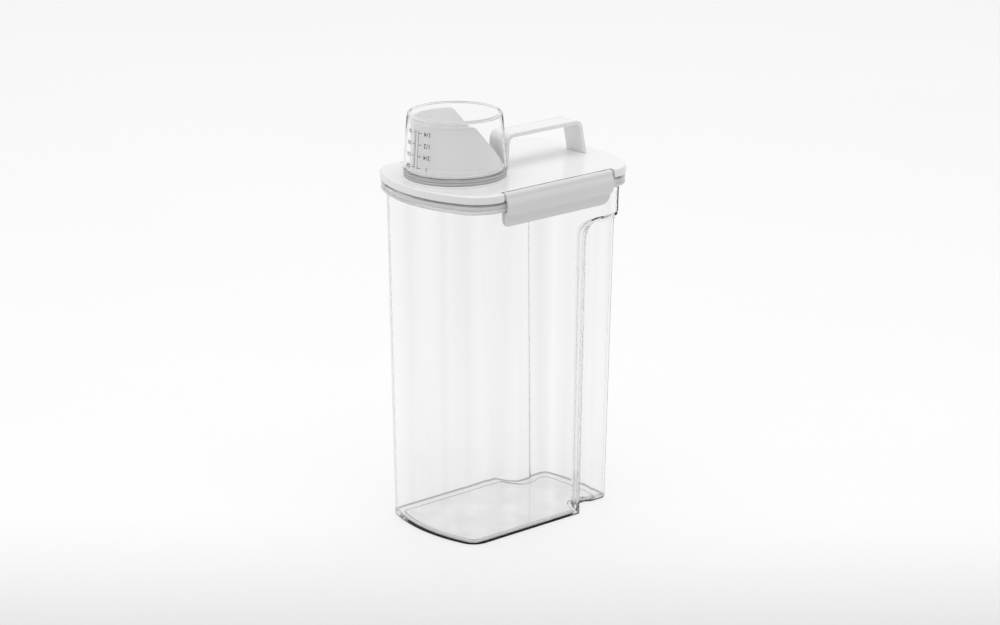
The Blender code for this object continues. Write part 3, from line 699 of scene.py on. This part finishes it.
# --------------------------------------------------------------------- handle
def build_handle():
    """Bent band whose two legs lean in a little and snap into the lid's slots."""
    top, t, z1 = LID_TOP, HANDLE_T, handle_high.z
    lean0, lean1, foot, rad = 1.4, 4.2, LID_TOP - 8.0, HANDLE_BEND
    x0, x1 = handle_low.x, handle_high.x
    half_w = handle_high.y
    outer = [(x0, foot), (x0, top), (x0 + 0.6, top + 4)]
    outer += arc(x0 + lean0 + rad, z1 - rad, rad, 180, 90, 18)
    outer += arc(x1 - lean1 - rad, z1 - rad, rad, 90, 0, 18)
    outer += [(x1 - 0.7, top + 4), (x1, top), (x1, foot)]
    ri, under = rad - t, top - PLATE
    inner = [(x1 - t, foot), (x1 - t, under - 3.2), (x1 - t - 1.2, under - 0.4),
             (x1 - t, under - 0.4), (x1 - t, top), (x1 - t - 0.7, top + 4)]
    inner += arc(x1 - lean1 - rad, z1 - rad, ri, 0, 90, 12)
    inner += arc(x0 + lean0 + rad, z1 - rad, ri, 90, 180, 12)
    inner += [(x0 + t + 0.6, top + 4), (x0 + t, top), (x0 + t, under - 0.4),
              (x0 + t + 1.2, under - 0.4), (x0 + t, under - 3.2), (x0 + t, foot)]
    ob = prism("handle_band", outer + inner, "y", -half_w, half_w, white_handle)
    mod = ob.modifiers.new("soft_edges", "BEVEL")
    mod.width, mod.segments, mod.limit_method = 0.9 * MM, 4, "ANGLE"
    mod.angle_limit = math.radians(50)
    settle(ob)
    smooth(ob, 35)
    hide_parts("carry_handle")
    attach(ob, "lid")


# -------------------------------------------------------------------- latches
def latch_section(side):
    """Latch section as (y, z), from offsets about the hinge axis."""
    h = LID_TOP - HINGE_Z
    outer = [(3.6 * math.cos(math.radians(a)), 3.6 * math.sin(math.radians(a)))
             for a in range(96, -1, -8)]
    outer += [(a, h - depth) for a, depth in (
        (3.95, 4.8), (4.4, 6.0), (4.9, 7.0), (5.3, 8.0), (5.65, 9.2), (5.9, 10.5), (5.9, 11.8),
        (5.75, 13.2), (5.4, 14.6), (4.95, 16.0), (4.4, 17.4), (3.75, 18.7), (3.1, 19.6),
        (2.5, 20.2), (2.0, 20.55), (1.65, 20.95), (1.45, 21.6), (1.4, 22.6), (1.45, 24.0),
        (1.55, 25.5), (1.65, 27.0), (1.65, 28.2), (1.4, 29.0), (0.95, 29.5),
        (0.3, LATCH_DROP), (-0.4, 29.55), (-0.85, 29.1), (-1.1, 28.4), (-1.5, 25.5),
        (-1.9, 22.5), (-2.1, 19.5), (-2.0, 17.2), (-1.5, 16.5), (3.1, 16.5), (3.6, 15.4),
        (4.0, 13.0), (4.1, 10.0), (3.5, 7.6))]
    inner = [(2.5 * math.cos(math.radians(a)), 2.5 * math.sin(math.radians(a)))
             for a in (-8, 4, 16, 28, 40, 52, 64, 80, 96)]
    return [(side * (HINGE_Y + a), HINGE_Z + b) for a, b in outer + inner]


def build_latch(name, node, side):
    """Flap with a barrel over the hinge bar, gaps for the lugs and rounded lower corners."""
    latch = prism(name, latch_section(side), "x", LATCH_X0, LATCH_X1, white_latch)
    y = side * HINGE_Y
    carve(latch, [rod("barrel", 3.3, LATCH_X0, LATCH_X1, y, HINGE_Z, 64)], "UNION")
    cuts = []
    for x in LUGS_X:
        w = LUG_W / 2 + 0.5
        cuts.append(rod("lug_gap", 2.5, x - w, x + w, y, HINGE_Z, 48))
        lo, hi = sorted((y + side * 0.15, y - side * 8))
        cuts.append(block("lug_way", (x - w, lo, HINGE_Z - 8), (x + w, hi, HINGE_Z + 6)))
    cuts.append(rod("bore", BAR_R + 0.3, LUGS_X[0] - 2, LUGS_X[-1] + 2, y, HINGE_Z, 32))
    mouth = [(side * (HINGE_Y + a), HINGE_Z + b)
             for a, b in ((0.4, -0.9), (-0.9, 0.4), (-5.2, -3.4), (-3.4, -5.2))]
    cuts.append(prism("mouth", mouth, "x", LUGS_X[0] - 2, LUGS_X[-1] + 2))
    z0 = LID_TOP - LATCH_DROP
    for x, sgn, rad in ((LATCH_X0, 1, 5.0), (LATCH_X1, -1, 11.0)):
        pts = [(x - sgn * 2, z0 - 2), (x + sgn * rad, z0 - 2)]
        pts += [(x + sgn * (rad - rad * math.sin(math.radians(a))),
                 z0 + rad - rad * math.cos(math.radians(a))) for a in range(0, 91, 6)]
        pts += [(x - sgn * 2, z0 + rad)]
        lo, hi = sorted((side * (HINGE_Y - 4), side * (HINGE_Y + 12)))
        cuts.append(prism("round", pts, "y", lo, hi))
    carve(latch, cuts)
    smooth(latch, 35)
    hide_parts(node)
    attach(latch, node)


# ------------------------------------------------------------ stage and camera
def build_stage():
    """Glowing table, even surroundings and three soft boxes."""
    floor = bpy.data.meshes.new("floor")
    half, drop = 30.0, 0.0003
    corners = [(-half, -half, 0), (half, -half, 0), (half, half, 0), (-half, half, 0)]
    floor.from_pydata(corners, [], [(0, 1, 2, 3)])
    mat, tree, shader = principled("floor", Roughness=0.9, Specular_IOR_Level=0.1,
                                   Emission_Color=(1.0, 1.0, 1.0))
    mottle(tree, shader, noise(tree, 3.0, 2.0), (0.24, 0.24, 0.24), (0.26, 0.26, 0.26))
    # a light table: the glow is weak in front of the object and strong behind it
    coords = tree.nodes.new("ShaderNodeTexCoord")
    ahead = tree.nodes.new("ShaderNodeVectorMath")
    ahead.operation = "DOT_PRODUCT"
    ahead.inputs[1].default_value = (0.62, 0.72, 0.0)
    tree.links.new(coords.outputs["Object"], ahead.inputs[0])
    tree.links.new(span(tree, ahead.outputs["Value"], 0.40, 0.74, -0.5, 0.02, "SMOOTHSTEP"),
                   shader.inputs["Emission Strength"])
    ob = add_piece("floor", floor, mat)
    ob.location.z = -drop

    world = bpy.data.worlds.new("studio")
    bpy.context.scene.world = world
    world.use_nodes = True
    tree = world.node_tree
    coords = tree.nodes.new("ShaderNodeTexCoord")
    split = tree.nodes.new("ShaderNodeSeparateXYZ")
    tree.links.new(coords.outputs["Generated"], split.inputs["Vector"])
    sky = ramp_between(tree, split.outputs["Z"], 0.0, (0.7, 0.7, 0.7), 0.45, (0.6, 0.6, 0.6))
    tree.links.new(sky, tree.nodes["Background"].inputs["Color"])

    middle = Vector((0, 0, 0.15))
    for name, place, size, power in (("top_box", (-0.1, -0.15, 1.7), (1.6, 1.6), 13.0),
                                     ("left_box", (-1.7, 0.9, 0.9), (1.0, 1.6), 3.0),
                                     ("back_box", (1.2, 1.6, 1.1), (2.2, 1.2), 2.0)):
        light = bpy.data.lights.new(name, "AREA")
        light.shape, light.size, light.size_y, light.energy = "RECTANGLE", *size, power
        lamp = bpy.data.objects.new(name, light)
        bpy.context.scene.collection.objects.link(lamp)
        lamp.location = place
        lamp.rotation_mode = "QUATERNION"
        lamp.rotation_quaternion = (middle - Vector(place)).to_track_quat("-Z", "Y")


def build_camera():
    """Three-quarter view from the near front corner, a little above."""
    azimuth, elevation = math.radians(-40.81), math.radians(17.14)
    distance, aside, below = 2.5951, 0.0022, 0.00699
    right = Vector((math.cos(azimuth), math.sin(azimuth), 0))
    up = Vector((-math.sin(elevation) * math.sin(azimuth),
                 math.sin(elevation) * math.cos(azimuth), math.cos(elevation)))
    back = right.cross(up)
    data = bpy.data.cameras.new("camera")
    data.sensor_width, data.lens = 36.0, 108.22
    data.clip_start, data.clip_end = 0.1, 100.0
    cam = bpy.data.objects.new("camera", data)
    bpy.context.scene.collection.objects.link(cam)
    eye = Vector((0, 0, 0.187)) + back * distance - right * aside - up * below
    cam.matrix_world = (Matrix.Translation(eye)
                        @ Matrix((right, up, back)).transposed().to_4x4())
    bpy.context.scene.camera = cam
    bpy.context.scene.view_settings.view_transform = "Standard"


build_container()
build_lid()
build_lid_seal()
build_spout()
build_spout_seal()
build_cup()
build_scale()
build_handle()
build_latch("near_flap", "latch_near", -1)
build_latch("far_flap", "latch_far", 1)
build_stage()
build_camera()
